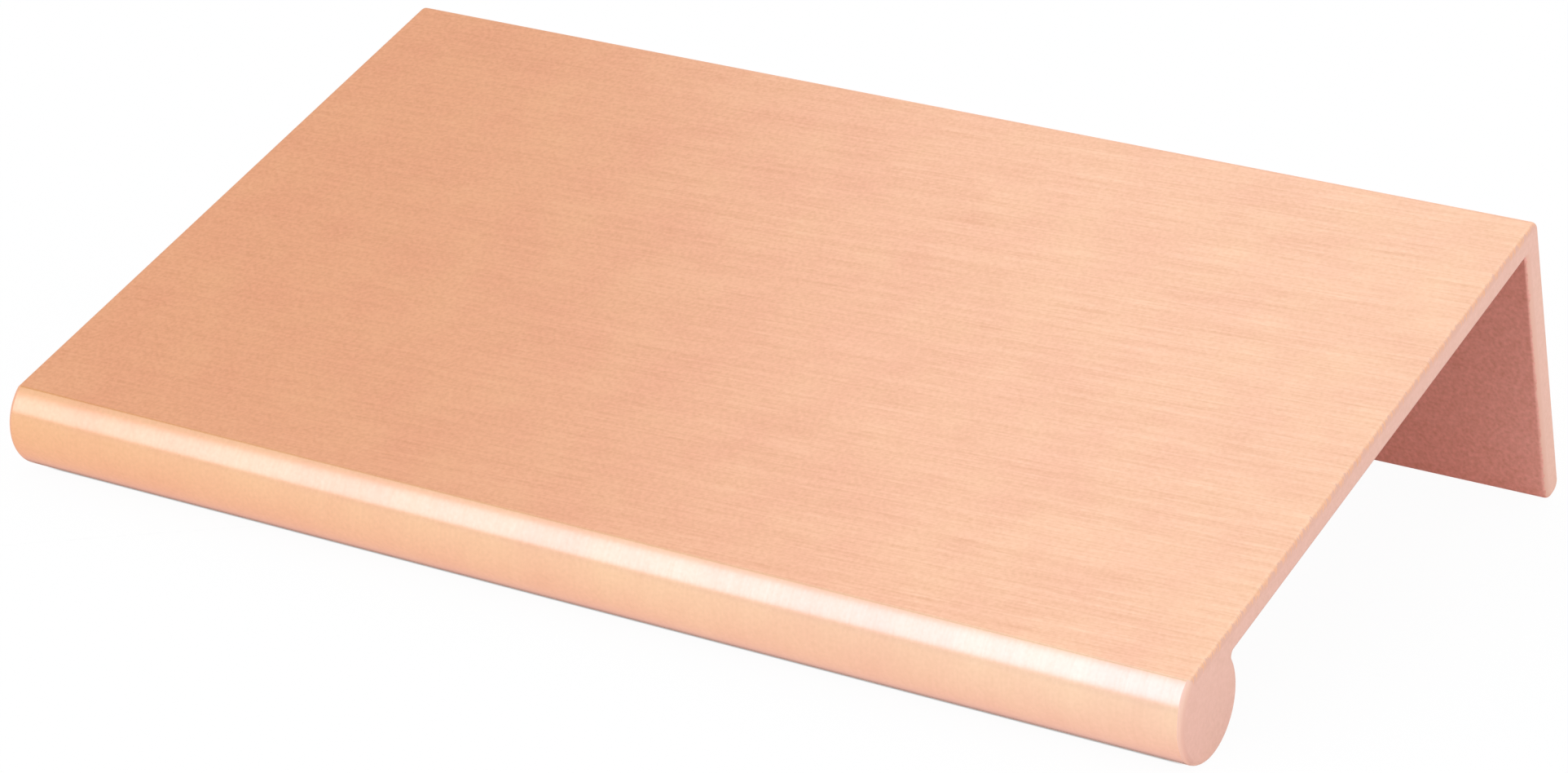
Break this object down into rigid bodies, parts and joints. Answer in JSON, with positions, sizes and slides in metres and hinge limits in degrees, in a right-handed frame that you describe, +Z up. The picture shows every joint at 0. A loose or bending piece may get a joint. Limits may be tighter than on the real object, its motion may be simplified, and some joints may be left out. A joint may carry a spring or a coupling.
{
  "type": "edge pull",
  "caption": "Edge pull cut from extruded aluminium profile: a thin plate with a round finger bead along its front edge and a drilled mounting leg behind.",
  "frame": {"origin": "centre of the bounding box, on the floor that the pull stands on", "axes": "+X along the profile, +Y from the bead at the front towards the leg at the back, +Z up"},
  "size_m": [0.07, 0.0432, 0.0167],
  "materials": {
    "copper_finish": "copper-tone anodised aluminium, finely brushed along its length, with matt sawn ends"
  },
  "bodies": {
    "root": {"edge_pull": "copper_finish"}
  },
  "joints": []
}
